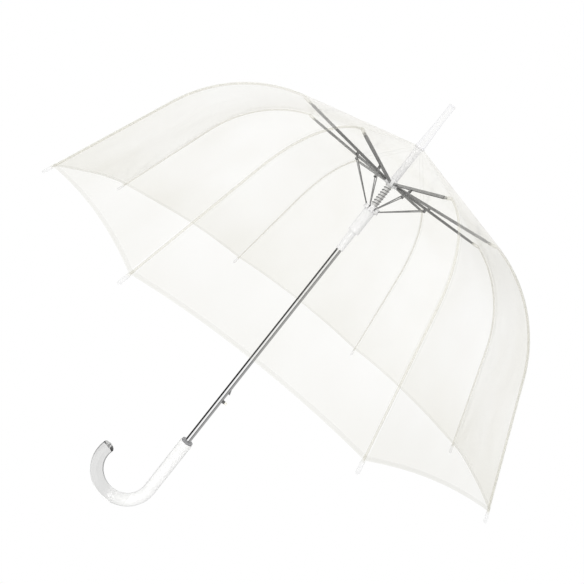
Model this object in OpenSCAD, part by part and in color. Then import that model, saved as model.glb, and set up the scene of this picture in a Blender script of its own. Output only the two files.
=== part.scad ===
/* [Canopy] */
// Radius of the open canopy's rim, at the ribs
rim_r = 420; // [400:1:430]
// Slope of the crown film below the horizontal, in degrees
crown_slope = 16.1; // [15:0.1:17]
// Slope of the skirt film below the horizontal, in degrees
skirt_slope = 66; // [64:0.5:68]
// Radius of the shoulder curve in a rib's plane
shoulder_r = 230; // [220:1:240]
// Distance from the shaft's axis at which the shoulder starts
shoulder_start = 196; // [192:1:200]
// Height of the film's top edge over the middle of the grip
apex_z = 657; // [655:1:660]
// Thickness of the clear film
film_t = 0.3; // [0.2:0.05:0.4]

/* [Ribs] */
// Steel rib's length from the notch pivot to the rod's pivot
rib_len = 172; // [168:1:176]
// Rise of the open steel rib, in degrees
rib_rise = 4; // [3:0.5:5]
// Width of the steel channel
channel_w = 3.6; // [3.2:0.1:4]
// Height of the steel channel
channel_h = 4; // [3.4:0.1:4.4]
// Distance from the notch pivot to the stretcher's rivet
rivet_at = 65; // [62:1:68]
// Drop of the stretcher's rivet below the rib's centre line
rivet_drop = 5; // [4.5:0.1:5.5]
// Diameter of the clear flexible rod
rod_d = 3; // [2.6:0.1:3.2]
// Length of the moulded tip cap beyond the rim
tip_len = 16; // [12:1:18]

/* [Shaft and hub] */
// Outer diameter of the steel shaft
shaft_d = 10; // [9.6:0.1:10.2]
// Height of the notch pivots
notch_z = 587; // [585:1:589]
// Distance of the notch pivots from the axis
notch_r = 10; // [9.8:0.1:10.4]
// Height of the stretcher pivots on the open runner
runner_z = 538; // [536:1:540]
// Distance of the stretcher pivots from the axis
runner_r = 12; // [11.8:0.1:12.4]
// Outer diameter of the cushion spring
spring_d = 12.8; // [12.6:0.1:13.4]

/* [Handle and ferrule] */
// Diameter of the clear handle
handle_d = 22; // [20:0.5:24]
// Radius of the hook's middle line
hook_r = 50; // [45:1:55]
// Angle that the hook sweeps, in degrees
hook_sweep = 196; // [185:1:205]
// Height of the handle's top
handle_top = 50; // [45:1:55]
// Height of the ferrule's tip
ferrule_top = 738; // [730:1:745]
// Diameter of the ferrule's straight end
ferrule_d = 10.6; // [10:0.1:11]

/* [Hidden] */
$fn = 48;
rib_n = 8;
rib_step = 360 / rib_n;
half_gore = rib_step / 2;
first_rib = 22.5;

// profile of the outer film in a rib's plane, as [distance from axis, height]
apex = [9, apex_z];
shoulder_p = [shoulder_start, apex.y - (shoulder_start - apex.x) * tan(crown_slope)];
shoulder_c = shoulder_p - shoulder_r * [sin(crown_slope), cos(crown_slope)];
function on_shoulder(r, a) = shoulder_c + r * [sin(a), cos(a)];
skirt_p = on_shoulder(shoulder_r, skirt_slope);
skirt_dir = [cos(skirt_slope), -sin(skirt_slope)];
rim_p = skirt_p + skirt_dir * (rim_r - skirt_p.x) / skirt_dir.x;
shoulder_steps = 10;
panel_gap = 0.5;

// a rod's centre line runs just inside the film
rod_drop = 2.4;
rod_gap = 0.8;
rod_arc_r = shoulder_r - rod_drop;
rod_skirt = skirt_p - rod_drop * [sin(skirt_slope), cos(skirt_slope)];
rod_rim = rim_p - rod_drop * [sin(skirt_slope), cos(skirt_slope)];
tip_r = 2.5;

// pivots in a rib's plane
notch_pivot = [notch_r, notch_z];
rib_dir = [cos(rib_rise), sin(rib_rise)];
rib_down = [sin(rib_rise), -cos(rib_rise)];
rivet_p = notch_pivot + rivet_at * rib_dir + rivet_drop * rib_down;
rod_pivot = notch_pivot + rib_len * rib_dir;
runner_pivot = [runner_r, runner_z];
pin_r = 0.9;
pin_play = 0.06;
plate_t = 0.8;
tongue_t = 1.6;
ear_r = 2;
link_w = 1.4;
link_t = 1.2;
wire_r = 0.65;
slot_w = 4.4;
runner_slot_w = 2.8;

shaft_r = shaft_d / 2;
shaft_wall = 0.8;
shaft_low = -40;
shaft_high = 622;
cap_h = 4;
cap_r = 8.5;
neck_r = 6;
catch_z = 162;
button_z = 142;
catch_t = 1.2;
button_r = 2.8;
slide_play = 0.1;
grip_bottom = -53;
spring_turns = 7.5;
spring_wire = 0.6;
spring_low = runner_z + 6;
spring_high = notch_z - 6;

HARDWARE = ["shaft", "handle", "handle_collar", "ferrule", "canopy_cap", "notch", "notch_wire",
    "runner", "runner_wire", "cushion_spring", "spring_catch", "trigger_button"];
RIB_PARTS = ["rib", "stretcher", "rod_upper", "rod_lower", "crown_panel", "skirt_panel"];

// turns a shape drawn in the plane y = 0 to rib number i
module at_rib(i) rotate(first_rib + (i - 1) * rib_step) children();

// a flat plate of thickness t drawn in a rib's plane
module plate(t) rotate([90, 0, 0]) linear_extrude(t, center = true) children();

// a plate's outline drawn along the open rib, from its notch pivot
module along_rib() translate(notch_pivot) rotate(rib_rise) children();

// a round bar between two points of a rib's plane
module bar(p, q, r) {
    d = q - p;
    translate([p.x, 0, p.y]) rotate([0, 90 - atan2(d.y, d.x), 0]) cylinder(h = norm(d), r = r);
}

// a round pin across a rib's plane
module cross_pin(p, r, w) translate([p.x, 0, p.y]) rotate([90, 0, 0]) cylinder(h = w, r = r, center = true);

module ring(r, wire) rotate_extrude($fn = 72) translate([r, 0]) circle(wire, $fn = 16);

module tube(low, high, r, bore) {
    translate([0, 0, low]) difference() {
        cylinder(h = high - low, r = r);
        translate([0, 0, -1]) cylinder(h = high - low + 2, r = bore);
    }
}

// radial slots cut from radius r outwards
module rib_slots(r, w, low, high) {
    for (i = [1:rib_n]) at_rib(i) translate([r, -w / 2, low]) cube([20, w, high - low]);
}

module shaft() color("silver") difference() {
    tube(shaft_low, shaft_high, shaft_r, shaft_r - shaft_wall);
    translate([0, -catch_t / 2 - slide_play, catch_z - 10]) cube([10, catch_t + 2 * slide_play, 20]);
    translate([0, 0, button_z]) rotate([0, 90, 0]) cylinder(h = 10, r = button_r + slide_play);
}

// the hook starts a little inside the grip, and its end cap a little inside the hook
module handle() color([0.93, 0.94, 0.95]) {
    hook_d = handle_d - 0.2;
    end_r = hook_d / 2 - 0.1;
    lead = 2.5;
    edge = 2.5;
    difference() {
        translate([0, 0, grip_bottom]) cylinder(h = handle_top - grip_bottom, r = handle_d / 2);
        translate([0, 0, shaft_low]) cylinder(h = handle_top - shaft_low + 1, r = shaft_r);
    }
    translate([-hook_r, 0, grip_bottom]) rotate([90, 0, 0]) rotate(-hook_sweep) {
        rotate_extrude(angle = hook_sweep + lead, $fn = 96)
            translate([hook_r, 0]) circle(hook_d / 2);
        translate([hook_r, 1, 0]) rotate([90, 0, 0]) {
            cylinder(h = 1 + edge / 2, r = end_r);
            translate([0, 0, 1 + edge / 2]) cylinder(h = edge / 2, r1 = end_r, r2 = end_r - edge / 2);
        }
    }
}

module handle_collar() color("gray") tube(handle_top, handle_top + 3, 10, shaft_r);

module ferrule() color([0.9, 0.92, 0.94]) {
    base = apex_z + cap_h / 2;
    straight = 32;
    difference() {
        union() {
            translate([0, 0, base]) cylinder(h = ferrule_top - straight - base, r1 = 7.5, r2 = ferrule_d / 2);
            translate([0, 0, ferrule_top - straight]) cylinder(h = straight, r = ferrule_d / 2);
            translate([0, 0, base - 18]) cylinder(h = 19, r = shaft_r);
        }
        translate([0, 0, base - 19]) cylinder(h = ferrule_top - base + 15, r = 3.4);
    }
}

module canopy_cap() color("white") {
    tube(notch_z + 6, apex_z - cap_h / 2, neck_r, shaft_r);
    tube(apex_z - cap_h / 2, apex_z + cap_h / 2, cap_r, shaft_r);
}

module notch() color("white") difference() {
    union() {
        tube(notch_z - 5, notch_z + 6, 7.4, shaft_r);
        tube(notch_z - 3.5, notch_z + 4, notch_r + 2.4, shaft_r);
    }
    rib_slots(7.4, slot_w, notch_z - 6, notch_z + 7);
    translate([0, 0, notch_z]) ring(notch_r, wire_r + 0.05);
}

module notch_wire() color("silver") translate([0, 0, notch_z]) ring(notch_r, wire_r);

module runner() color("white") difference() {
    union() {
        tube(455, 492, 6.3, 5.08);
        tube(490, runner_z - 4, 9.5, 5.08);
        tube(runner_z - 5, runner_z + 4, 13.2, 5.08);
    }
    rib_slots(9.5, runner_slot_w, runner_z - 6, runner_z + 5);
    translate([0, 0, runner_z]) ring(runner_r, wire_r + 0.05);
}

module runner_wire() color("silver") translate([0, 0, runner_z]) ring(runner_r, wire_r);

// the coil is swept along its helix, with a ring of points every twentieth of a turn
module cushion_spring() color("silver") {
    sides = 6;
    rings = floor(spring_turns * 20);
    mid_r = spring_d / 2 - spring_wire;
    rise = (spring_high - spring_low) / rings;
    points = [for (k = [0:rings], s = [0:sides - 1])
        let (turn = k * 18, a = s * 360 / sides, r = mid_r + spring_wire * cos(a))
        [r * cos(turn), r * sin(turn), spring_low + k * rise + spring_wire * sin(a)]];
    walls = [for (k = [0:rings - 1], s = [0:sides - 1])
        let (t = (s + 1) % sides, a = k * sides, b = a + sides) [a + s, b + s, b + t, a + t]];
    first = [for (s = [0:sides - 1]) s];
    last = [for (s = [0:sides - 1]) (rings + 1) * sides - 1 - s];
    polyhedron(points, concat([first, last], walls), convexity = 10);
}

module spring_catch() color("silver") translate([0, 0, catch_z]) plate(catch_t)
    polygon([[2.6, -8.5], [5, -8.5], [5, -4.5], [7.8, -4.5], [5, 4.5], [5, 8.5], [2.6, 8.5]]);

// a stem with a flange inside the shaft, and a narrower end cap
module trigger_button() color("silver") translate([0, 0, button_z]) rotate([0, 90, 0]) {
    translate([0, 0, 0.6]) cylinder(h = 1.8, r = button_r + 0.4);
    translate([0, 0, 0.2]) cylinder(h = 9, r = button_r);
    cylinder(h = 12.2, r = button_r - 0.5);
    translate([0, 0, 12.2]) cylinder(h = 0.8, r1 = button_r - 0.5, r2 = button_r - 1.3);
}

// a folded steel channel: two side plates with ears, a top web, an eye and a tongue
module rib(i) color("dimgray") at_rib(i) {
    side_y = channel_w / 2 - plate_t / 2;
    tongue = 5;
    for (s = [-1, 1]) translate([0, s * side_y, 0]) plate(plate_t) along_rib() {
        translate([3, -channel_h / 2]) square([rib_len - tongue - 3, channel_h]);
        translate([rivet_at, -rivet_drop]) circle(ear_r);
        translate([rivet_at - ear_r, -rivet_drop]) square([2 * ear_r, rivet_drop]);
    }
    plate(channel_w) along_rib() translate([3, channel_h / 2 - 0.6])
        square([rib_len - tongue - 3, 0.6]);
    difference() {
        plate(tongue_t) along_rib() {
            circle(1.8);
            translate([0, -1]) square([7, channel_h / 2 + 1 - 0.2]);
        }
        cross_pin(notch_pivot, wire_r + 0.1, 4);
    }
    difference() {
        plate(tongue_t) along_rib() {
            translate([rib_len, 0]) circle(1.8);
            translate([rib_len - 9, -1.6]) square([9, 3.2]);
        }
        cross_pin(rod_pivot, pin_r + pin_play, 4);
    }
    cross_pin(rivet_p, pin_r, channel_w + 0.8);
}

// a flat wire link: an eye on the rib's rivet, and an end that stops at the runner's ring
module stretcher(i) color("dimgray") at_rib(i) {
    link = rivet_p - runner_pivot;
    clear = wire_r + 0.5;
    difference() {
        plate(link_t) translate(runner_pivot) rotate(atan2(link.y, link.x)) {
            translate([clear, -link_w / 2]) square([norm(link) - clear, link_w]);
            translate([norm(link), 0]) circle(ear_r - 0.2);
        }
        cross_pin(rivet_p, pin_r + pin_play, 4);
    }
}

// the moulded connector with its pin, and the rod's curved shoulder stretch
module rod_upper(i) color([0.85, 0.88, 0.9]) at_rib(i) {
    start = on_shoulder(rod_arc_r, crown_slope);
    d = (start - rod_pivot) / norm(start - rod_pivot);
    cap = rod_pivot + 3 * d;
    fork_y = tongue_t / 2 + 0.15;
    for (s = [-1, 1]) translate([0, s * (fork_y + 0.5), 0]) plate(1) {
        translate(rod_pivot) circle(2.2);
        translate(rod_pivot) rotate(atan2(d.y, d.x)) translate([0, -2]) square([5, 4]);
    }
    cross_pin(rod_pivot, pin_r, 2 * fork_y + 1);
    bar(cap, start - 1.6 * d, 2.6);
    bar(cap, start, rod_d / 2);
    translate([shoulder_c.x, 0, shoulder_c.y]) rotate([90, 0, 0]) rotate(90 - skirt_slope)
        rotate_extrude(angle = skirt_slope - crown_slope, $fn = 160)
        translate([rod_arc_r, 0]) circle(rod_d / 2, $fn = 24);
}

// the rod's straight skirt stretch, with its moulded tip cap
module rod_lower(i) color([0.85, 0.88, 0.9]) at_rib(i) {
    nose = 2;
    len = norm(rod_rim - rod_skirt) - rod_gap;
    start = rod_skirt + rod_gap * skirt_dir;
    translate([start.x, 0, start.y]) rotate([0, 90 + skirt_slope, 0]) {
        cylinder(h = len, r = rod_d / 2);
        translate([0, 0, len + 0.4]) cylinder(h = tip_len - 0.4 - nose, r = tip_r);
        translate([0, 0, len + tip_len - nose]) cylinder(h = nose, r1 = tip_r, r2 = 1.4);
    }
}

// where a film row at seam point p reaches the middle of the gore on side s
function gore_middle(p, s) = [p.x * cos(half_gore) ^ 2, s * p.x * cos(half_gore) * sin(half_gore), p.y]
    + panel_gap / 2 * [sin(half_gore), -s * cos(half_gore), 0];
function film_row(p) = [gore_middle(p, -1), [p.x, 0, p.y], gore_middle(p, 1)];

// a strip of film centred on a rib's seam, from the middle of one gore to the middle of
// the next; each row is a seam point and its slope, and the film lies straight across
module film_strip(i, rows) {
    n = len(rows);
    inner = [for (row = rows) row[0] - film_t * [sin(row[1]), cos(row[1])]];
    points = [for (k = [0:n - 1]) each concat(film_row(rows[k][0]), film_row(inner[k]))];
    // a row holds three outer points and then three inner ones, which make a loop
    loop = [0, 1, 2, 5, 4, 3];
    walls = [for (k = [0:n - 2], j = [0:5])
        let (a = 6 * k + loop[j], b = 6 * k + loop[(j + 1) % 6]) [a, b, b + 6, a + 6]];
    first = [[0, 3, 4, 1], [1, 4, 5, 2]];
    last = [for (f = first) [for (j = [3:-1:0]) f[j] + 6 * (n - 1)]];
    color([0.9, 0.9, 0.88, 0.5]) at_rib(i) polyhedron(points, concat(walls, first, last), convexity = 6);
}

module crown_panel(i) {
    edge = panel_gap * [cos(crown_slope), -sin(crown_slope)];
    film_strip(i, [[apex + edge, crown_slope], [shoulder_p - edge, crown_slope]]);
}

module skirt_panel(i) {
    slopes = [for (k = [0:shoulder_steps])
        crown_slope + (skirt_slope - crown_slope) * k / shoulder_steps];
    film_strip(i, [for (a = slopes) [on_shoulder(shoulder_r, a), a], [rim_p, skirt_slope]]);
}

shaft();
handle();
handle_collar();
ferrule();
canopy_cap();
notch();
notch_wire();
runner();
runner_wire();
cushion_spring();
spring_catch();
trigger_button();
for (i = [1:rib_n]) {
    rib(i);
    stretcher(i);
    rod_upper(i);
    rod_lower(i);
    crown_panel(i);
    skirt_panel(i);
}
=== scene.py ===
"""A clear dome stick umbrella: its film, clear mouldings, materials, light and camera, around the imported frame."""

import math

import bpy
from mathutils import Matrix, Vector, noise


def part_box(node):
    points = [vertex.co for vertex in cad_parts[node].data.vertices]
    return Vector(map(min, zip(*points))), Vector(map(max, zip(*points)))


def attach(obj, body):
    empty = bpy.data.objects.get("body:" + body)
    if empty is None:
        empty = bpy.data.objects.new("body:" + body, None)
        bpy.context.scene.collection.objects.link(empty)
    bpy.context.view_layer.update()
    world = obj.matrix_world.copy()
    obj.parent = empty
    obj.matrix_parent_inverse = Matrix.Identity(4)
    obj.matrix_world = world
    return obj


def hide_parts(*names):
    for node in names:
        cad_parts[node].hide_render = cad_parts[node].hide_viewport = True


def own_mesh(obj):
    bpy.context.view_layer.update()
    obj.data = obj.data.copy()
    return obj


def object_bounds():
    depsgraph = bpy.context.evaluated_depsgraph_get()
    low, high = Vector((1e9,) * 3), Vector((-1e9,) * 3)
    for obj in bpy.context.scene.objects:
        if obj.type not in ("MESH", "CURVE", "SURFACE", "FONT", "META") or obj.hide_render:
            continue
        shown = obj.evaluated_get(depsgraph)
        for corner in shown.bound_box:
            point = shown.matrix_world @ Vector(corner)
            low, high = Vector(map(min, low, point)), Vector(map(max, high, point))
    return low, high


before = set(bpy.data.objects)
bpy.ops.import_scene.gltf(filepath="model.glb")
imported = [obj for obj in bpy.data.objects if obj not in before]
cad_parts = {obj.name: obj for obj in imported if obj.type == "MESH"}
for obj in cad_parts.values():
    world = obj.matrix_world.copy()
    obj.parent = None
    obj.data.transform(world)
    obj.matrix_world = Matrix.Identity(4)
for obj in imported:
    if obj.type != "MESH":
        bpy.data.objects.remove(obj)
cad_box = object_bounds()

MM = 0.001
RIBS = 8
HALF_GORE = math.radians(22.5)
FIRST_RIB = math.radians(22.5)

# the film's profile in a rib's plane, in metres
APEX_R, APEX_Z = 9 * MM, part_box("crown_panel_1")[1].z
CROWN_SLOPE = math.radians(16.1)
SKIRT_SLOPE = math.radians(66)
SHOULDER_R = 230 * MM
SHOULDER_START = 196 * MM
RIM_R = 420 * MM
CROWN_LEN = (SHOULDER_START - APEX_R) / math.cos(CROWN_SLOPE)
SHOULDER_LEN = SHOULDER_R * (SKIRT_SLOPE - CROWN_SLOPE)
SHOULDER_Z = APEX_Z - CROWN_LEN * math.sin(CROWN_SLOPE)
SHOULDER_C = (
    SHOULDER_START - SHOULDER_R * math.sin(CROWN_SLOPE),
    SHOULDER_Z - SHOULDER_R * math.cos(CROWN_SLOPE),
)
SKIRT_START_R = SHOULDER_C[0] + SHOULDER_R * math.sin(SKIRT_SLOPE)
SKIRT_START_Z = SHOULDER_C[1] + SHOULDER_R * math.cos(SKIRT_SLOPE)
SKIRT_LEN = (RIM_R - SKIRT_START_R) / math.cos(SKIRT_SLOPE)
FILM_LEN = CROWN_LEN + SHOULDER_LEN + SKIRT_LEN
RIM_Z = SKIRT_START_Z - SKIRT_LEN * math.sin(SKIRT_SLOPE)
HEM_RISE = 10 * MM  # how much higher the hem is at the middle of a gore


# ---------------------------------------------------------------- materials


class Nodes:
    """The node tree of a material or a world, with the steps that repeat."""

    def __init__(self, owner):
        owner.use_nodes = True
        self.tree = owner.node_tree
        self.tree.nodes.clear()
        self.link = self.tree.links.new

    def add(self, kind, **values):
        """A new node, with its settings and its inputs by name."""
        node = self.tree.nodes.new(kind)
        for key, value in values.items():
            if hasattr(node, key) and key not in node.inputs:
                setattr(node, key, value)
            else:
                node.inputs[key].default_value = value
        return node

    def maths(self, operation, *values):
        """A Math node, fed by sockets or plain numbers."""
        node = self.add("ShaderNodeMath", operation=operation)
        for socket, value in zip(node.inputs, values):
            if isinstance(value, (int, float)):
                socket.default_value = value
            else:
                self.link(value, socket)
        return node.outputs[0]

    def ramp(self, value, points):
        """The colour at the value, through (place, grey or colour) points."""
        node = self.add("ShaderNodeValToRGB")
        elements = node.color_ramp.elements
        while len(elements) < len(points):
            elements.new(0.5)
        for element, (place, colour) in zip(elements, points):
            element.position = place
            rgb = colour if hasattr(colour, "__len__") else (colour, colour, colour)
            element.color = (*rgb, 1)
        self.link(value, node.inputs["Fac"])
        return node.outputs["Color"]

    def ease(self, value, span, ends=(0.0, 1.0)):
        """A smooth step from one end to the other while the value crosses the span."""
        node = self.add("ShaderNodeMapRange", interpolation_type="SMOOTHSTEP")
        node.inputs["From Min"].default_value, node.inputs["From Max"].default_value = span
        node.inputs["To Min"].default_value, node.inputs["To Max"].default_value = ends
        self.link(value, node.inputs["Value"])
        return node.outputs["Result"]

    def times(self, one, other):
        """The product of two colours."""
        node = self.add("ShaderNodeMix", data_type="RGBA", blend_type="MULTIPLY")
        node.inputs["Factor"].default_value = 1.0
        self.link(one, node.inputs["A"])
        self.link(other, node.inputs["B"])
        return node.outputs["Result"]

    def mixed(self, share, first, second):
        """The first shader, with that share of the second."""
        node = self.add("ShaderNodeMixShader")
        self.link(share, node.inputs["Fac"])
        self.link(first, node.inputs[1])
        self.link(second, node.inputs[2])
        return node.outputs["Shader"]

    def axes(self, source):
        """The X, Y and Z of a texture coordinate."""
        place = self.add("ShaderNodeTexCoord")
        split = self.add("ShaderNodeSeparateXYZ")
        self.link(place.outputs[source], split.inputs["Vector"])
        return split.outputs

    def noise(self, scale, detail=4.0, stretch=(1, 1, 1)):
        """Noise over the object's own coordinates, in metres."""
        place = self.add("ShaderNodeTexCoord")
        mapping = self.add("ShaderNodeMapping", Scale=stretch)
        tex = self.add("ShaderNodeTexNoise", Scale=scale, Detail=detail)
        self.link(place.outputs["Object"], mapping.inputs["Vector"])
        self.link(mapping.outputs["Vector"], tex.inputs["Vector"])
        return tex.outputs["Fac"]

    def bumped(self, height, strength, distance):
        """The normal of a surface with that relief."""
        bump = self.add("ShaderNodeBump", Strength=strength, Distance=distance)
        self.link(height, bump.inputs["Height"])
        return bump.outputs["Normal"]

    def finish(self, shader, kind="ShaderNodeOutputMaterial"):
        self.link(shader, self.add(kind).inputs["Surface"])


SCHLICK = 5.0  # how fast gloss grows towards grazing view
HEAD_ON = 0.05  # gloss seen straight on, as a share of the gloss at the edge
FROSTED = 0.3  # roughness of the white end of a smoked plastic


def film_material(name, tints, haze, least, edge, cloud, rough=0.12, fall=6.0, gloss=0.6, low=None):
    """Clear film or moulding: a cloudy see-through tint, with a gloss and a haze. The haze's share is
    least, and grows by edge towards grazing view and by cloud in the clouds; least and cloud are the
    milkiness of the film, and the growth by edge is painted shade on silhouettes and edges, in place of
    the dark surroundings that they mirror and bend in. With low, a second tint goes from below to above
    between two heights."""
    mat = bpy.data.materials.new(name)
    nodes = Nodes(mat)
    see = nodes.add("ShaderNodeBsdfTransparent")
    milk = nodes.add("ShaderNodeBsdfPrincipled", Roughness=0.35, IOR=1.5)
    milk.inputs["Base Color"].default_value = (*haze, 1)
    mirror = nodes.add("ShaderNodeBsdfAnisotropic", Roughness=rough)
    mirror.inputs["Color"].default_value = (1, 0.99, 0.96, 1)
    clouds = nodes.noise(8.0, 6.0, (1, 1, 0.6))
    colour = nodes.ramp(clouds, [(0.36, tints[0]), (0.60, tints[1])])
    if low:
        heights, below, above = low
        height = nodes.ease(nodes.axes("Object")["Z"], heights)
        colour = nodes.times(colour, nodes.ramp(height, [(0.0, below), (1.0, above)]))
    nodes.link(colour, see.inputs["Color"])
    normal = nodes.bumped(nodes.noise(16.0), 0.3, 0.004)
    glance = nodes.add("ShaderNodeLayerWeight", Blend=0.5)
    for node in (milk, mirror, glance):
        nodes.link(normal, node.inputs["Normal"])
    facing = glance.outputs["Facing"]
    # painted shade: the haze's share grows towards grazing view to darken silhouettes and edges
    share = nodes.maths("MULTIPLY_ADD", nodes.maths("POWER", facing, fall), edge, least)
    share = nodes.maths("MULTIPLY_ADD", clouds, cloud, share)
    body = nodes.mixed(share, see.outputs["BSDF"], milk.outputs["BSDF"])
    shine = nodes.maths("MULTIPLY_ADD", nodes.maths("POWER", facing, SCHLICK), gloss, gloss * HEAD_ON)
    nodes.finish(nodes.mixed(shine, body, mirror.outputs["BSDF"]))
    return mat


def steel_material(name, dark, light, rough, stretch, scale=900.0, bump=0.04):
    """Plated steel with fine drawing lines and faint handling marks."""
    mat = bpy.data.materials.new(name)
    nodes = Nodes(mat)
    metal = nodes.add("ShaderNodeBsdfPrincipled", Metallic=1.0)
    lines = nodes.noise(scale, 3.0, stretch)
    marks = nodes.noise(60.0, 6.0)
    nodes.link(nodes.ramp(lines, [(0.25, dark), (0.75, light)]), metal.inputs["Base Color"])
    nodes.link(nodes.ramp(marks, [(0.35, rough * 0.7), (0.75, rough * 1.5)]), metal.inputs["Roughness"])
    nodes.link(nodes.bumped(lines, bump, 0.0001), metal.inputs["Normal"])
    nodes.finish(metal.outputs["BSDF"])
    return mat


def plastic_material(name, light, dark, rough, transmission=1.0, shade=None, edge=1.0, smoke=None):
    """Clear or solid moulded plastic with a faint flow pattern; edge is painted shade, which darkens its
    colour towards grazing view in place of the dark surroundings that the edges of clear plastic bend
    in, and shade is the tint of its shadow, if lamps shine through it. With smoke, it is white as far as
    the first distance along -X, and from there to the second it turns clear with a grey tint."""
    mat = bpy.data.materials.new(name)
    nodes = Nodes(mat)
    plastic = nodes.add("ShaderNodeBsdfPrincipled", IOR=1.49)
    plastic.inputs["Transmission Weight"].default_value = transmission
    flow = nodes.noise(25.0, 2.0, (1, 1, 0.3))
    glance = nodes.add("ShaderNodeLayerWeight", Blend=0.5)
    # painted shade: the colour darkens towards grazing view, in place of the dark surroundings that the edges of
    # clear plastic bend in
    painted_edge_shade = nodes.ramp(glance.outputs["Facing"], [(0.55, 1.0), (0.85, 0.5 + 0.5 * edge), (0.97, edge)])
    colour = nodes.times(nodes.ramp(flow, [(0.3, dark), (0.7, light)]), painted_edge_shade)
    if smoke:
        (near, far), grey = smoke
        along = nodes.axes("Object")["X"]
        span = (-far, -near)
        colour = nodes.times(colour, nodes.ease(along, span, (grey, 1.0)))
        nodes.link(nodes.ease(along, span, (transmission, 0.0)), plastic.inputs["Transmission Weight"])
        nodes.link(nodes.ease(along, span, (rough, FROSTED)), plastic.inputs["Roughness"])
    else:
        nodes.link(nodes.ramp(flow, [(0.3, rough), (0.8, rough * 1.8)]), plastic.inputs["Roughness"])
    nodes.link(colour, plastic.inputs["Base Color"])
    nodes.link(nodes.bumped(flow, 0.02, 0.001), plastic.inputs["Normal"])
    surface = plastic.outputs["BSDF"]
    if shade is not None:
        path = nodes.add("ShaderNodeLightPath")
        through = nodes.add("ShaderNodeBsdfTransparent")
        through.inputs["Color"].default_value = (shade, shade, shade, 1)
        surface = nodes.mixed(path.outputs["Is Shadow Ray"], surface, through.outputs["BSDF"])
    nodes.finish(surface)
    return mat


FILM = film_material(
    "clear_film", [(0.970, 0.966, 0.948), (0.999, 0.998, 0.990)], (0.72, 0.71, 0.66), 0.007, 0.3, 0.02,
    low=((290 * MM, 440 * MM), (0.958, 0.955, 0.940), (1, 1, 1)))
UNDER = film_material(
    "under_film", [(0.985, 0.984, 0.975), (0.998, 0.998, 0.992)], (0.9, 0.9, 0.87), 0.004, 0.0, 0.01, gloss=0.02)
WELD = film_material(
    "film_weld", [(0.975, 0.973, 0.958), (0.993, 0.993, 0.984)], (0.85, 0.85, 0.81), 0.03, 0.3, 0.04, 0.25)
LINE = film_material(
    "weld_line", [(0.93, 0.927, 0.90), (0.955, 0.953, 0.935)], (0.72, 0.72, 0.68), 0.05, 0.3, 0.04, 0.3)
HEM = film_material(
    "hem_weld", [(0.88, 0.875, 0.845), (0.915, 0.91, 0.885)], (0.66, 0.655, 0.60), 0.05, 0.3, 0.04, 0.3)
# the ferrule's grey haze grows fast towards grazing view. It is painted shade on its sides, in place of the dark
# surroundings that a clear tube's sides bend in
MOULDING = film_material(
    "clear_moulding", [(0.985, 0.985, 0.99), (0.996, 0.996, 1.0)], (0.58, 0.58, 0.62), 0.012, 0.42, 0.02, 0.08,
    fall=2.5)
ROD = film_material(
    "clear_rod", [(0.965, 0.965, 0.97), (0.985, 0.985, 0.99)], (0.80, 0.80, 0.77), 0.12, 0.2, 0.06, 0.2,
    gloss=0.12, low=((RIM_Z - 5 * MM, RIM_Z + 1 * MM), (1, 1, 1), (0.955, 0.948, 0.918)))
NECK = film_material(
    "cloudy_neck", [(0.975, 0.975, 0.98), (0.99, 0.99, 0.995)], (0.95, 0.95, 0.97), 0.68, 0.2, 0.12, 0.15,
    fall=3.0, gloss=0.4)
SHAFT_STEEL = steel_material("shaft_steel", 0.72, 0.82, 0.07, (1, 1, 0.01), 300.0, 0.02)
RIB_STEEL = steel_material("rib_steel", 0.24, 0.38, 0.28, (0.05, 0.05, 1))
SPRING_STEEL = steel_material("spring_steel", 0.12, 0.24, 0.2, (1, 1, 1))
# edge=0.6 paints shade on the handle's edges towards grazing view
ACRYLIC = plastic_material(
    "clear_acrylic", (0.955, 0.955, 0.95), (0.935, 0.935, 0.925), 0.0, shade=0.92, edge=0.6,
    smoke=((9 * MM, 60 * MM), 0.80))
WHITE = plastic_material("white_moulding", (0.94, 0.94, 0.955), (0.9, 0.9, 0.915), 0.3, 0.1)
CREAM = plastic_material("cream_moulding", (0.92, 0.90, 0.82), (0.88, 0.86, 0.78), 0.3, 0.0)
COLLAR = plastic_material("grey_collar", (0.36, 0.36, 0.37), (0.25, 0.25, 0.26), 0.3, 0.0)


def dress(obj, *mats):
    """Gives the object these materials in place of its own."""
    obj.data.materials.clear()
    for mat in mats:
        obj.data.materials.append(mat)


# ---------------------------------------------------------------- carried-over CAD nodes

NODE_MATERIAL = {
    "shaft": SHAFT_STEEL, "handle_collar": COLLAR, "notch": WHITE, "notch_wire": SPRING_STEEL,
    "runner": WHITE, "runner_wire": SPRING_STEEL, "cushion_spring": SPRING_STEEL,
    "spring_catch": SPRING_STEEL,
    "rib": RIB_STEEL, "stretcher": RIB_STEEL, "rod_upper": ROD, "rod_lower": ROD,
}
for node_name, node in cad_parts.items():
    kind = node_name.rsplit("_", 1)[0] if node_name[-1].isdigit() else node_name
    if kind in NODE_MATERIAL:
        dress(node, NODE_MATERIAL[kind])


# ---------------------------------------------------------------- mesh helpers


def new_piece(name, verts, faces, mats, smooth=True):
    """An object with this mesh and these materials."""
    mesh = bpy.data.meshes.new(name)
    mesh.from_pydata([tuple(v) for v in verts], [], faces)
    mesh.validate()
    obj = bpy.data.objects.new(name, mesh)
    bpy.context.scene.collection.objects.link(obj)
    dress(obj, *mats)
    if smooth:
        mesh.polygons.foreach_set("use_smooth", [True] * len(mesh.polygons))
    return obj


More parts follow.
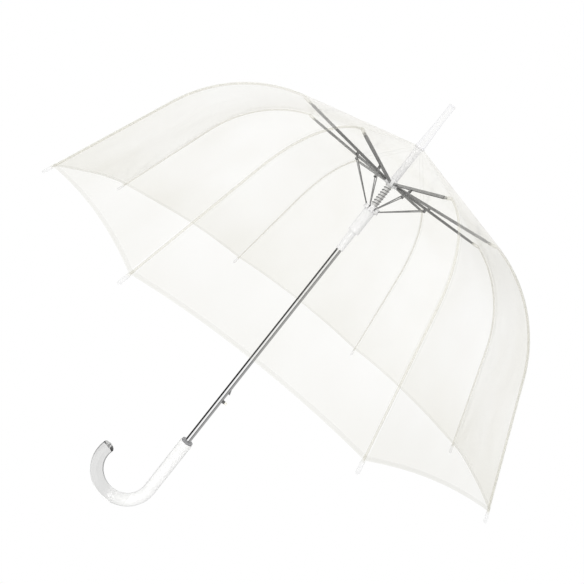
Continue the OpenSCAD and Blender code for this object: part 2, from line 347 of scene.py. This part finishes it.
def lathe(name, outline, mat, turns=64):
    """A closed solid turned round the shaft's axis from (radius, height) points; radius 0 closes an end."""
    verts, faces, rings = [], [], []
    for r, z in outline:
        if r < 1e-9:
            rings.append([len(verts)] * turns)
            verts.append((0, 0, z))
        else:
            rings.append(list(range(len(verts), len(verts) + turns)))
            for k in range(turns):
                a = 2 * math.pi * k / turns
                verts.append((r * math.cos(a), r * math.sin(a), z))
    pairs = list(zip(rings, rings[1:])) if outline[0][0] < 1e-9 else list(zip(rings, rings[1:] + rings[:1]))
    for low, high in pairs:
        for k in range(turns):
            m = (k + 1) % turns
            quad = [low[k], low[m], high[m], high[k]]
            faces.append([v for n, v in enumerate(quad) if v not in quad[:n]])
    return new_piece(name, verts, faces, [mat])


def rounded(points, radius, steps=4):
    """The outline with each corner cut back to a small arc; neighbours closer than the radius are kept apart."""
    out = []
    count = len(points)
    for k, p in enumerate(points):
        a, b, c = Vector(points[k - 1]), Vector(p), Vector(points[(k + 1) % count])
        cut = min(radius, (a - b).length / 2.1, (c - b).length / 2.1)
        start, end = b + (a - b).normalized() * cut, b + (c - b).normalized() * cut
        for n in range(steps + 1):
            t = n / steps
            out.append(tuple(start * (1 - t) ** 2 + b * 2 * t * (1 - t) + end * t * t))
    return out


def sweep(name, path, radii, mat, sides=48):
    """A solid bar in the XZ plane through path points, with a radius at each."""
    verts, faces = [], []
    for k, p in enumerate(path):
        a, b = path[max(k - 1, 0)], path[min(k + 1, len(path) - 1)]
        along = (b - a).normalized()
        side = Vector((0, 1, 0))
        up = along.cross(side)
        for n in range(sides):
            t = 2 * math.pi * n / sides
            verts.append(p + radii[k] * (math.cos(t) * up + math.sin(t) * side))
    for k in range(len(path) - 1):
        for n in range(sides):
            m = (n + 1) % sides
            faces.append([k * sides + n, (k + 1) * sides + n, (k + 1) * sides + m, k * sides + m])
    first, last = len(verts), len(verts) + 1
    verts += [path[0], path[-1]]
    end = (len(path) - 1) * sides
    for n in range(sides):
        m = (n + 1) % sides
        faces.append([first, n, m])
        faces.append([last, end + m, end + n])
    return new_piece(name, verts, faces, [mat])


# ---------------------------------------------------------------- handle, neck and ferrule

GRIP_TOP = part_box("handle")[1].z
GRIP_LOW = -53 * MM
GRIP_R = 11 * MM
HOOK_R = 50 * MM
HOOK_SWEEP = math.radians(196)
END_ROUND = 2.5 * MM
TOP_ROUND = 1.0 * MM
ROUND_STEPS = [math.radians(a) for a in (90, 67, 45, 22, 0)]


def hook_path(steps):
    """Points down the grip and round the hook."""
    line = [Vector((0, 0, GRIP_TOP + (GRIP_LOW - GRIP_TOP) * k / 24)) for k in range(24)]
    arc = []
    for k in range(steps + 1):
        a = -HOOK_SWEEP * k / steps
        arc.append(Vector((-HOOK_R + HOOK_R * math.cos(a), 0, GRIP_LOW + HOOK_R * math.sin(a))))
    return line + arc


def make_handle():
    """One bar down the grip and round the hook, with both ends rounded."""
    path = hook_path(72)
    radii = [GRIP_R] * len(path)
    top, tip = path[0], path[-1]
    down = (path[1] - path[0]).normalized()
    out = (path[-1] - path[-2]).normalized()
    first = [(top + down * TOP_ROUND * (1 - math.sin(a)), GRIP_R - TOP_ROUND + TOP_ROUND * math.cos(a))
             for a in ROUND_STEPS]
    last = [(tip + out * END_ROUND * math.sin(a), GRIP_R - END_ROUND + END_ROUND * math.cos(a))
            for a in reversed(ROUND_STEPS)]
    path = [p for p, _ in first] + path[1:-1] + [p for p, _ in last]
    radii = [r for _, r in first] + radii[1:-1] + [r for _, r in last]
    handle = sweep("handle_acrylic", path, radii, ACRYLIC)
    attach(handle, "shaft_group")
    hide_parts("handle")


def make_neck():
    """The tube on the shaft's end and the flange that holds the film's centre."""
    low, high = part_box("canopy_cap")
    flange_r, neck_r, bore = high.x, 6 * MM, 5.02 * MM
    shelf = high.z - 4 * MM
    outline = [(bore, low.z), (neck_r, low.z), (neck_r, shelf), (flange_r, shelf), (flange_r, high.z),
               (bore, high.z)]
    neck = lathe("neck_and_cap", rounded(outline, 0.8 * MM), NECK)
    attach(neck, "shaft_group")
    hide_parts("canopy_cap")


def make_ferrule():
    """The clear hollow tip; it has no spigot, which the neck would hide."""
    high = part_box("ferrule")[1]
    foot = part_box("canopy_cap")[1].z + 0.1 * MM
    foot_r, end_r, bore = 7.5 * MM, 5.3 * MM, 3.4 * MM
    hole = bore - 1 * MM
    straight = high.z - 32 * MM
    outline = [(bore, foot), (foot_r, foot), (end_r, straight), (end_r, high.z), (hole, high.z),
               (hole, high.z - 4 * MM), (bore, high.z - 5 * MM)]
    ferrule = lathe("ferrule_tip", rounded(outline, 0.7 * MM), MOULDING)
    ferrule.data.materials.append(UNDER)
    for face in ferrule.data.polygons:  # almost no gloss inside the bore
        if math.hypot(face.center.x, face.center.y) < bore + 0.2 * MM and face.center.z < high.z - 3 * MM:
            face.material_index = 1
    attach(ferrule, "shaft_group")
    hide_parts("ferrule")


BUTTON_Z = 142 * MM
# outlines as (radius, distance from the shaft's axis) in mm
BUTTON_STEM = [(0, 0.2), (2.8, 0.2), (2.8, 0.6), (3.2, 0.6), (3.2, 2.4), (2.8, 2.4), (2.8, 8.6), (2.4, 8.6),
               (2.4, 9.2), (0, 9.2)]
BUTTON_TIP = [(0, 8.8), (2.25, 8.8), (2.25, 9.3), (2.3, 9.3), (2.3, 12.2), (1.5, 13.0), (0, 13.0)]


def make_button():
    """The steel stem and its moulded end, lathed along Z and then laid along +X."""
    turn = Matrix.Translation((0, 0, BUTTON_Z)) @ Matrix.Rotation(math.pi / 2, 4, "Y")
    for name, outline, mat, slot in (("button_stem", BUTTON_STEM, SPRING_STEEL, "spring_steel"),
                                     ("button_tip", BUTTON_TIP, CREAM, "white_moulding")):
        points = rounded([(r * MM, z * MM) for r, z in outline[1:-1]], 0.25 * MM)
        # of the first and last corners' arcs, only the point on the wall is kept
        closed = [(0, outline[0][1] * MM)] + points[4:-4] + [(0, outline[-1][1] * MM)]
        piece = lathe(name, closed, mat, 40)
        piece.data.transform(turn)
        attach(piece, "button")
        if name == "button_stem":
            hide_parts("trigger_button")


make_handle()
make_neck()
make_ferrule()
make_button()


# ---------------------------------------------------------------- film

LINE_IN, LINE_OUT = 3.6 * MM, 4.6 * MM  # the weld line beside a seam
HEM_LINE, HEM_TOP = 5.2 * MM, 6.2 * MM  # the weld line above the hem
HEM_EDGE = 1.2 * MM  # the second line, at the film's cut edge
HEM_ROOM = 0.02  # between the even rows and the hem's lines, as a share of the strip
NARROWEST = 12 * MM  # a half strip's width counts as at least this near the cap
SEAM_EDGES = [0, 1.8 * MM, LINE_IN, LINE_OUT]  # how far from the seam the first columns of points lie
OPEN_COLUMNS = 11  # columns from there to the middle of the gore
SAG = 3.0 * MM
WAVE = 0.9 * MM
BROAD_WAVES, FINE_WAVES = 11, 27  # how close waves lie, in noise cells per metre
FOLD = 0.8 * MM  # soft folds that fan out from the tips
FOLD_REACH = 190 * MM
BROAD_FOLDS, FINE_FOLDS = 7, 12  # how many a full turn round a tip would hold
FOLD_START = 90 * MM  # they grow up to this far from a tip
FREE_FROM = 14 * MM  # waves are full this far from a seam
TINY = 0.4 * MM  # the step that slopes are taken over
# the layer that bridges crown and shoulder when closed
UNDER_LEN, UNDER_GAP, UNDER_DIP = 60 * MM, 0.6 * MM, 19 * MM


def profile(s):
    """Distance from the axis, height and slope of the seam at length s from the cap."""
    if s <= CROWN_LEN:
        return APEX_R + s * math.cos(CROWN_SLOPE), APEX_Z - s * math.sin(CROWN_SLOPE), CROWN_SLOPE
    if s <= CROWN_LEN + SHOULDER_LEN:
        a = CROWN_SLOPE + (s - CROWN_LEN) / SHOULDER_R
        return SHOULDER_C[0] + SHOULDER_R * math.sin(a), SHOULDER_C[1] + SHOULDER_R * math.cos(a), a
    t = s - CROWN_LEN - SHOULDER_LEN
    return (SKIRT_START_R + t * math.cos(SKIRT_SLOPE), SKIRT_START_Z - t * math.sin(SKIRT_SLOPE),
            SKIRT_SLOPE)


def smooth(t):
    """A smooth step from 0 to 1."""
    t = min(max(t, 0.0), 1.0)
    return t * t * (3 - 2 * t)


def rib_turn(rib):
    """The rotation that brings the XZ plane to a rib."""
    return Matrix.Rotation(FIRST_RIB + (rib - 1) * 2 * HALF_GORE, 3, "Z")


def film_point(rib, side, s, w):
    """A point of the film: w runs from 0 on the rib's seam to 1 in the middle of the gore beside it."""
    r, z, slope = profile(s)
    cos_h, sin_h = math.cos(HALF_GORE), math.sin(HALF_GORE)
    x = r * (1 - w * sin_h * sin_h)
    y = side * w * r * cos_h * sin_h
    steep = math.atan(math.tan(slope) / cos_h)
    out = math.sin(steep)
    normal = Vector((out * cos_h, side * out * sin_h, math.cos(steep)))
    turn = rib_turn(rib)
    p, n = turn @ Vector((x, y, z)), turn @ normal
    across = w * r * sin_h
    free = smooth(across / FREE_FROM)
    lift = -SAG * smooth((s - 0.6 * CROWN_LEN) / SHOULDER_LEN) * w * (2 - w)
    lift += WAVE * free * (noise.noise(p * BROAD_WAVES) + 0.5 * noise.noise(p * FINE_WAVES + Vector((3, 1, 2))))
    up = FILM_LEN - s
    reach = math.hypot(across, up)
    angle = math.atan2(across, max(up, 1e-4))
    fan = math.cos(BROAD_FOLDS * angle + 1.3 * rib) + 0.5 * math.cos(FINE_FOLDS * angle + 2.1 * side)
    near = smooth(1 - reach / FOLD_REACH) * smooth(reach / FOLD_START)
    lift += FOLD * fan * near * 4 * w * (1 - w) * free
    return p + n * lift


def film_end(s_end, w):
    """The hem rises in a shallow curve from the ribs to the middle of each gore."""
    if s_end < FILM_LEN - 1e-6:
        return s_end
    return s_end - HEM_RISE * (2 * w - w * w)


def film_strip(kind, rib, side, s_top, s_end, rows, body, hem=False, under=False):
    """Half a strip of film beside one rib, from its seam to the middle of the gore; or the layer under it,
    which leaves it slowly towards the cap."""
    columns = SEAM_EDGES + [None] * OPEN_COLUMNS
    last_edge = len(SEAM_EDGES) - 1
    steps = [k / rows for k in range(rows + 1)]
    if hem:
        length = s_end - s_top
        fixed = [1 - HEM_TOP / length, 1 - HEM_LINE / length, 1 - HEM_EDGE / length, 1]
        steps = [k / rows * (fixed[0] - HEM_ROOM) for k in range(rows)] + fixed
    verts, normals = [], []
    for step in steps:
        for k, edge in enumerate(columns):
            r = profile(s_top + step * (s_end - s_top))[0]
            width = max(r * math.sin(HALF_GORE), NARROWEST)
            first = LINE_OUT / width
            w = edge / width if edge is not None else first + (1 - first) * (k - last_edge) / OPEN_COLUMNS
            s = s_top + step * (film_end(s_end, w) - s_top)
            p = film_point(rib, side, s, w)
            if under:
                p -= Vector((0, 0, UNDER_GAP + UNDER_DIP * (1 - step)))
            dw = min(TINY / width, 0.5)
            ds = film_point(rib, side, s + TINY, w) - film_point(rib, side, s - TINY, w)
            across = film_point(rib, side, s, max(w, dw)) - film_point(rib, side, s, max(w, dw) - dw)
            normal = ds.cross(across).normalized()
            verts.append(p)
            normals.append(normal if normal.z > 0 else -normal)
    across_n = len(columns)
    hem_row = len(steps) - 4  # the first of the four rows that the hem adds
    faces, marks = [], []
    for a in range(len(steps) - 1):
        for b in range(across_n - 1):
            low = a * across_n + b
            quad = [low, low + 1, low + across_n + 1, low + across_n]
            faces.append(quad if side < 0 else quad[::-1])
            in_seam = b < last_edge
            line = b == last_edge - 1 or (hem and a in (hem_row, hem_row + 2))
            in_hem = hem and a >= hem_row
            marks.append(0 if under else 2 if line else 3 if in_hem else 1 if in_seam else 0)
    label = "left" if side < 0 else "right"
    mats = [UNDER] if under else [FILM, WELD, LINE, HEM]
    obj = new_piece(f"film_{kind}_{rib}_{label}", verts, faces, mats)
    obj.data.polygons.foreach_set("material_index", marks)
    obj.data.normals_split_custom_set_from_vertices([tuple(n) for n in normals])
    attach(obj, body)
    fold_film(obj, side, s_top, s_end)
    return obj


def fold_film(obj, side, s_top, s_end):
    """Works out the direction along which half a strip would gather onto its seam as the runner comes down:
    the one that leads from the seam across the film, square to the line between the seam's two ends.
    That direction is not used; the strip only gets a mesh of its own."""
    (r0, z0, _), (r1, z1, _) = profile(s_top), profile(s_end)
    along = Vector((r1 - r0, 0, z1 - z0)).normalized()
    across = Vector((-math.sin(HALF_GORE), side * math.cos(HALF_GORE), 0))
    across = (across - along * across.dot(along)).normalized()
    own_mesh(obj)


S_SHOULDER = CROWN_LEN
S_SKIRT = CROWN_LEN + SHOULDER_LEN
for rib in range(1, RIBS + 1):
    for side in (-1, 1):
        crown = film_strip("crown", rib, side, 0, S_SHOULDER, 16, f"crown_{rib}")
        shoulder = film_strip("shoulder", rib, side, S_SHOULDER, S_SKIRT, 22, f"upper_{rib}")
        skirt = film_strip("skirt", rib, side, S_SKIRT, FILM_LEN, 24, f"lower_{rib}", hem=True)
        film_strip("under", rib, side, S_SHOULDER - UNDER_LEN, S_SHOULDER, 8, f"rib_{rib}", under=True)
        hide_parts(f"crown_panel_{rib}")
        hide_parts(f"skirt_panel_{rib}")


# ---------------------------------------------------------------- light, floor and camera


def area_light(name, place, size, power):
    """A soft lamp aimed at the middle of the umbrella; gloss doesn't mirror it."""
    data = bpy.data.lights.new(name, "AREA")
    data.shape = "RECTANGLE"
    data.size, data.size_y = size
    data.energy = power
    obj = bpy.data.objects.new(name, data)
    obj.location = place
    obj.visible_glossy = False
    obj.rotation_euler = (MIDDLE - Vector(place)).to_track_quat("-Z", "Y").to_euler()
    bpy.context.scene.collection.objects.link(obj)


MIDDLE = Vector((0, 0, 0.4))
# brightness of the studio round the object, by bearing in degrees: 0 is behind the camera, 90 to its right
STUDIO = [(-180, 0.85), (-154, 0.85), (-146, 0.03), (-52, 0.03), (-44, 1.2), (17, 1.2), (23, 0.06), (35, 0.06),
          (42, 0.40), (100, 0.46), (146, 0.42), (156, 0.85), (180, 0.85)]
OVERHEAD = [(-180, 0.95), (-20, 0.95), (50, 0.55), (150, 0.5), (172, 0.95), (180, 0.95)]  # past the panels' ends
PANEL_TOP = (-0.01, 0.06)  # the panels end between these heights
PANEL_FOOT = (0.45, 0.60)  # and between these depths
CEILING, CEILING_DIM = (0.45, 0.6), 0.25  # what clear mouldings bend in from above, and how dark it is
STRIP_BEARING = math.radians(111)  # where, on both sides, the dark strips stand that clear mouldings bend in
STRIP_EDGE, STRIP_DARK = (math.radians(14), math.radians(17)), 0.3  # half their width, and how dark they are
EVEN = 0.68  # the soft light that falls on everything that isn't glossy


def make_world():
    """White behind the object, and a studio of light and dark panels in what the gloss mirrors."""
    world = bpy.data.worlds.new("studio")
    bpy.context.scene.world = world
    nodes = Nodes(world)
    axes = nodes.axes("Generated")
    path = nodes.add("ShaderNodeLightPath")
    bearing = nodes.maths("ARCTAN2", axes["X"], nodes.maths("MULTIPLY", axes["Y"], -1.0))
    around = nodes.maths("MULTIPLY_ADD", bearing, 0.5 / math.pi, 0.5)
    rings = [nodes.ramp(around, [((degrees + 180) / 360, grey) for degrees, grey in levels])
             for levels in (STUDIO, OVERHEAD)]
    ends = [nodes.ease(nodes.maths("MULTIPLY", axes["Z"], up), span)
            for span, up in ((PANEL_TOP, 1.0), (PANEL_FOOT, -1.0))]
    blend = nodes.add("ShaderNodeMix", data_type="RGBA")
    nodes.link(nodes.maths("MAXIMUM", *ends), blend.inputs["Factor"])
    nodes.link(rings[0], blend.inputs["A"])
    nodes.link(rings[1], blend.inputs["B"])

    off = nodes.maths("ABSOLUTE", nodes.maths("SUBTRACT", nodes.maths("ABSOLUTE", bearing), STRIP_BEARING))
    strips = nodes.ease(off, STRIP_EDGE, (STRIP_DARK, 1.0))
    through = nodes.maths("MULTIPLY", nodes.ease(axes["Z"], CEILING, (1.0, CEILING_DIM)), strips)

    studio, white, even = (nodes.add("ShaderNodeBackground") for _ in range(3))
    nodes.link(blend.outputs["Result"], studio.inputs["Color"])
    nodes.link(nodes.maths("MAXIMUM", through, path.outputs["Is Camera Ray"]), white.inputs["Color"])
    even.inputs["Color"].default_value = (EVEN, EVEN, EVEN, 1)
    soft = nodes.mixed(path.outputs["Is Diffuse Ray"], studio.outputs["Background"], even.outputs["Background"])
    seen = nodes.maths("MAXIMUM", path.outputs["Is Camera Ray"], path.outputs["Is Transmission Ray"])
    nodes.finish(nodes.mixed(seen, soft, white.outputs["Background"]), "ShaderNodeOutputWorld")


FLOOR_REACH = 12
FLOOR_DROP = 12 * MM  # below the object's lowest point


def make_floor():
    """A plain pale floor, white to the eye; it is open to what mirrors it, and from below."""
    level = cad_box[0][2] - FLOOR_DROP
    corners = [(x * FLOOR_REACH, y * FLOOR_REACH, level) for x, y in ((-1, -1), (1, -1), (1, 1), (-1, 1))]
    mat = bpy.data.materials.new("pale_floor")
    nodes = Nodes(mat)
    path = nodes.add("ShaderNodeLightPath").outputs
    side = nodes.add("ShaderNodeNewGeometry")
    paint = nodes.add("ShaderNodeBsdfPrincipled", Roughness=0.9)
    paint.inputs["Base Color"].default_value = (0.88, 0.88, 0.88, 1)
    glow = nodes.add("ShaderNodeEmission")
    clear = nodes.add("ShaderNodeBsdfTransparent")
    seen = nodes.maths("MAXIMUM", path["Is Camera Ray"], path["Is Transmission Ray"])
    top = nodes.mixed(seen, paint.outputs["BSDF"], glow.outputs["Emission"])
    open_to = nodes.maths("MAXIMUM", path["Is Glossy Ray"], side.outputs["Backfacing"])
    nodes.finish(nodes.mixed(open_to, top, clear.outputs["BSDF"]))
    floor = new_piece("floor", corners, [[0, 1, 2, 3]], [mat], smooth=False)


CAMERA_PLACE = Vector((0, -1.1243, 0.4701))
CAMERA_TURN = (-0.87, -5.87, 38.27)  # yaw, pitch and roll in degrees
CAMERA_LENS = 43.3


def make_camera():
    data = bpy.data.cameras.new("camera")
    data.sensor_width = 36
    data.lens = CAMERA_LENS
    camera = bpy.data.objects.new("camera", data)
    bpy.context.scene.collection.objects.link(camera)
    yaw, pitch, roll = (math.radians(a) for a in CAMERA_TURN)
    ahead = Vector((math.sin(yaw) * math.cos(pitch), math.cos(yaw) * math.cos(pitch), math.sin(pitch)))
    level = ahead.cross(Vector((0, 0, 1))).normalized()
    right = level * math.cos(roll) + level.cross(ahead) * math.sin(roll)
    up = right.cross(ahead)
    turn = Matrix((right, up, -ahead)).transposed().to_4x4()
    camera.matrix_world = Matrix.Translation(CAMERA_PLACE) @ turn
    bpy.context.scene.camera = camera


make_world()
make_floor()
make_camera()
area_light("key", (-1.6, -1.6, 2.2), (1.4, 1.4), 16)
area_light("side", (2.2, -0.8, 1.0), (0.8, 1.8), 8)
area_light("back", (0.4, 2.4, 1.6), (2.0, 1.0), 10)
area_light("front", (-0.4, -1.5, 0.9), (0.6, 0.6), 8)
bpy.context.scene.view_settings.view_transform = "Standard"
